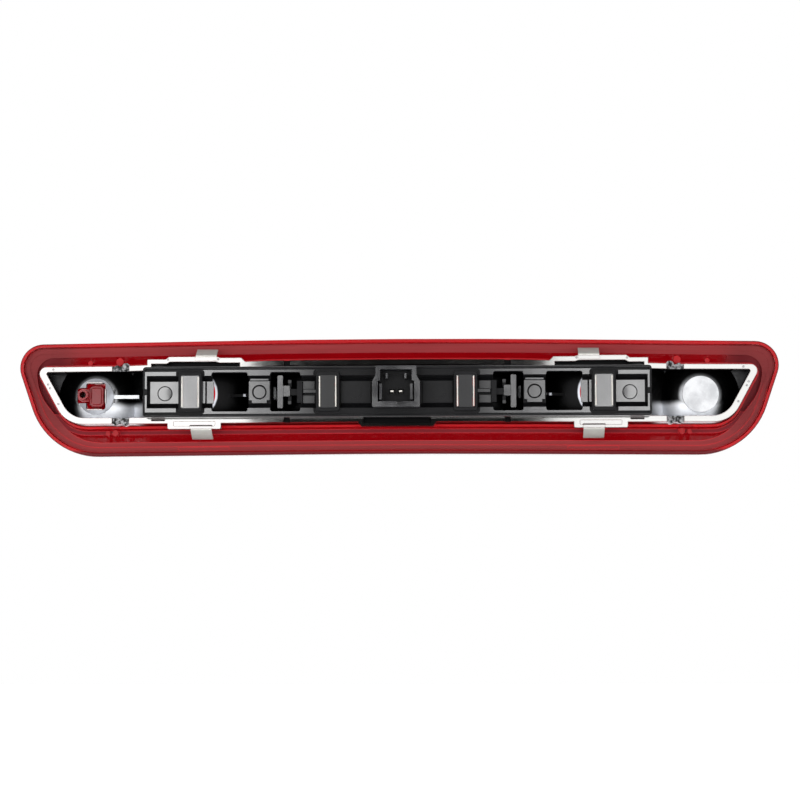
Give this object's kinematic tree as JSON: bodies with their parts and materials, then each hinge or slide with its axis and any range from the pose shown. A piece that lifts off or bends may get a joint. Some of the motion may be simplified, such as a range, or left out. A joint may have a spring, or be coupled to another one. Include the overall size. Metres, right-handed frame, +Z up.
{
  "type": "third brake light",
  "caption": "High-mount stop lamp: red lens, mirrored housing, clip-in wedge-bulb carrier with connector header, spring clips and a washer jet.",
  "frame": {"origin": "middle of the tailgate opening, in the plane that the lens rim's rear face seats on", "axes": "+X along the lamp, +Y out of the vehicle the way the light shines, +Z up on the vehicle; the bulb carrier and connector face -Y"},
  "size_m": [0.3952, 0.0435, 0.061],
  "materials": {
    "red_lens": "clear red moulding, matt land",
    "chrome_housing": "vacuum-metallised plastic",
    "red_nozzle": "glossy",
    "black_ball": "satin",
    "spring_steel": "satin",
    "black_plastic": "semi-gloss moulding",
    "black_latch": "semi-gloss moulding",
    "tinned_brass": "tinned",
    "bulb_glass": "clear",
    "lead_wire": "plain wire",
    "tungsten": "coil"
  },
  "bodies": {
    "lamp_body": {"outer_lens": "red_lens", "reflector_housing": "chrome_housing", "washer_jet_body": "red_nozzle"},
    "washer_ball": {"washer_jet_ball": "black_ball"},
    "clip_upper_left": {"upper_clip_left": "spring_steel"},
    "clip_upper_right": {"upper_clip_right": "spring_steel"},
    "clip_lower_left": {"lower_clip_left": "spring_steel"},
    "clip_lower_right": {"lower_clip_right": "spring_steel"},
    "carrier": {"bulb_carrier": "black_plastic", "supply_rail": "tinned_brass", "ground_rail": "tinned_brass", "supply_pin": "tinned_brass", "ground_pin": "tinned_brass", "bulb_1_glass": "bulb_glass", "bulb_1_leads": "lead_wire", "bulb_1_filament": "tungsten", "bulb_2_glass": "bulb_glass", "bulb_2_leads": "lead_wire", "bulb_2_filament": "tungsten", "bulb_3_glass": "bulb_glass", "bulb_3_leads": "lead_wire", "bulb_3_filament": "tungsten", "bulb_4_glass": "bulb_glass", "bulb_4_leads": "lead_wire", "bulb_4_filament": "tungsten", "socket_1_contact_left": "tinned_brass", "socket_1_contact_right": "tinned_brass", "socket_2_contact_left": "tinned_brass", "socket_2_contact_right": "tinned_brass", "socket_3_contact_left": "tinned_brass", "socket_3_contact_right": "tinned_brass", "socket_4_contact_left": "tinned_brass", "socket_4_contact_right": "tinned_brass"},
    "latch_left": {"latch_lever_left": "black_latch"},
    "latch_right": {"latch_lever_right": "black_latch"}
  },
  "joints": [
    {"name": "carrier_release", "type": "slide", "parent": "lamp_body", "child": "carrier", "axis": [0, -1, 0], "range_m": [0, 0.05]},
    {"name": "latch_left_press", "type": "hinge", "parent": "carrier", "child": "latch_left", "pos_m": [-0.0502, -0.017, 0.0014], "axis": [0, 0, -1], "range_deg": [0, 8], "stiffness_Nm_per_rad": 0.02},
    {"name": "latch_right_press", "type": "hinge", "parent": "carrier", "child": "latch_right", "pos_m": [0.0502, -0.017, 0.0014], "axis": [0, 0, 1], "range_deg": [0, 8], "stiffness_Nm_per_rad": 0.02},
    {"name": "washer_ball_aim", "type": "hinge", "parent": "lamp_body", "child": "washer_ball", "pos_m": [-0.156, 0.0084, -0.0002], "axis": [1, 0, 0], "range_deg": [-10, 10]},
    {"name": "clip_upper_left_flex", "type": "hinge", "parent": "lamp_body", "child": "clip_upper_left", "pos_m": [-0.0988, -0.0119, 0.0194], "axis": [-1, 0, 0], "range_deg": [0, 10], "stiffness_Nm_per_rad": 0.5},
    {"name": "clip_lower_left_flex", "type": "hinge", "parent": "lamp_body", "child": "clip_lower_left", "pos_m": [-0.1013, -0.0119, -0.0162], "axis": [1, 0, 0], "range_deg": [0, 10], "stiffness_Nm_per_rad": 0.5},
    {"name": "clip_upper_right_flex", "type": "hinge", "parent": "lamp_body", "child": "clip_upper_right", "pos_m": [0.0988, -0.0119, 0.0194], "axis": [-1, 0, 0], "range_deg": [0, 10], "stiffness_Nm_per_rad": 0.5},
    {"name": "clip_lower_right_flex", "type": "hinge", "parent": "lamp_body", "child": "clip_lower_right", "pos_m": [0.1013, -0.0119, -0.0162], "axis": [1, 0, 0], "range_deg": [0, 10], "stiffness_Nm_per_rad": 0.5}
  ]
}
